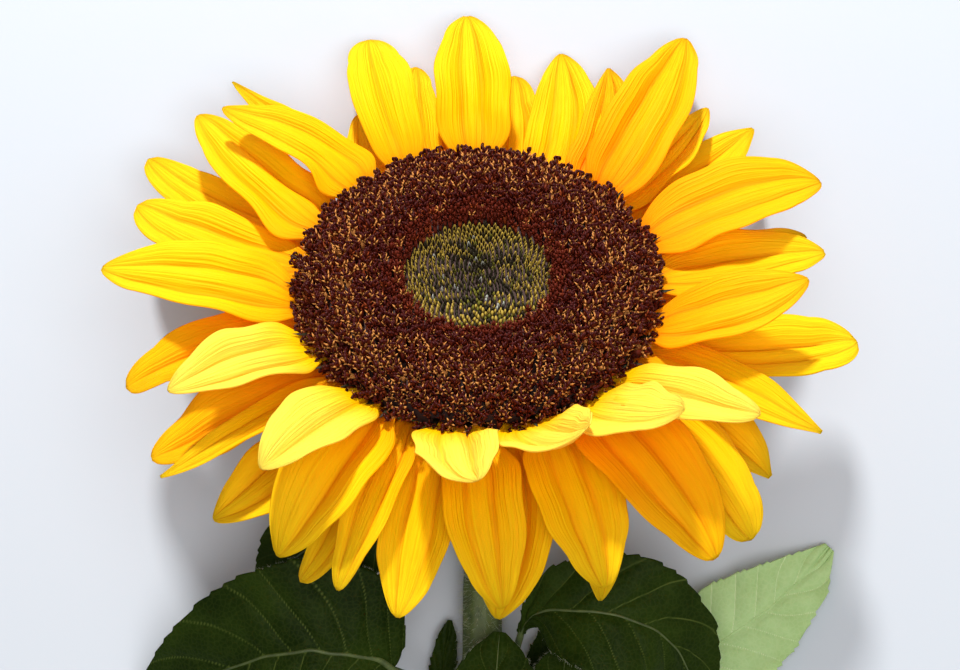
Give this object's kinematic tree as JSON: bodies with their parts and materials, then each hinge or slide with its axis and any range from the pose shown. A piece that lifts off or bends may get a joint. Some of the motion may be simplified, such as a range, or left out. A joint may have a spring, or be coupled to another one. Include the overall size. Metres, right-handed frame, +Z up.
{
  "type": "cut sunflower",
  "caption": "Cut sunflower lying on its back: a large head of yellow ray florets round a dark brown disc with a green centre, on a bent hairy stem with broad toothed leaves.",
  "frame": {"origin": "on the ground under the middle of the whole flower's bounding box", "axes": "+Z up; +Y along the lying stem from its cut end towards the head; +X to the right, seen from above with the head at the top; the flower's face looks up and towards +Y"},
  "size_m": [0.2666, 0.3538, 0.1618],
  "materials": {
    "ray_floret": "satin petal, finely veined",
    "open_florets": "crowded tube florets, matt with glossy tips",
    "closed_buds": "crowded closed buds, satin",
    "bracts": "matt, downy",
    "stem": "matt, covered in stiff pale hairs",
    "leaf": "matt, rough, with pale veins"
  },
  "bodies": {
    "root": {"ray_01": "ray_floret", "ray_02": "ray_floret", "ray_03": "ray_floret", "ray_04": "ray_floret", "ray_05": "ray_floret", "ray_06": "ray_floret", "ray_07": "ray_floret", "ray_08": "ray_floret", "ray_09": "ray_floret", "ray_10": "ray_floret", "ray_11": "ray_floret", "ray_12": "ray_floret", "ray_13": "ray_floret", "ray_14": "ray_floret", "ray_15": "ray_floret", "ray_16": "ray_floret", "ray_17": "ray_floret", "ray_18": "ray_floret", "ray_19": "ray_floret", "ray_20": "ray_floret", "ray_21": "ray_floret", "ray_22": "ray_floret", "ray_23": "ray_floret", "ray_24": "ray_floret", "ray_25": "ray_floret", "ray_26": "ray_floret", "ray_27": "ray_floret", "ray_28": "ray_floret", "ray_29": "ray_floret", "ray_30": "ray_floret", "ray_31": "ray_floret", "ray_32": "ray_floret", "ray_33": "ray_floret", "ray_34": "ray_floret", "ray_35": "ray_floret", "ray_36": "ray_floret", "ray_37": "ray_floret", "ray_38": "ray_floret", "ray_39": "ray_floret", "ray_40": "ray_floret", "ray_41": "ray_floret", "ray_42": "ray_floret", "ray_43": "ray_floret", "ray_44": "ray_floret", "ray_45": "ray_floret", "ray_46": "ray_floret", "disc_open_florets": "open_florets", "disc_closed_buds": "closed_buds", "receptacle_and_bracts": "bracts", "neck": "stem", "stem": "stem", "leaf_left": "leaf", "leaf_left_rear": "leaf", "leaf_right": "leaf", "leaf_right_far": "leaf", "leaf_small_left": "leaf", "leaf_small_front": "leaf", "leaf_small_right": "leaf", "leaf_small_rear": "leaf"}
  },
  "joints": []
}
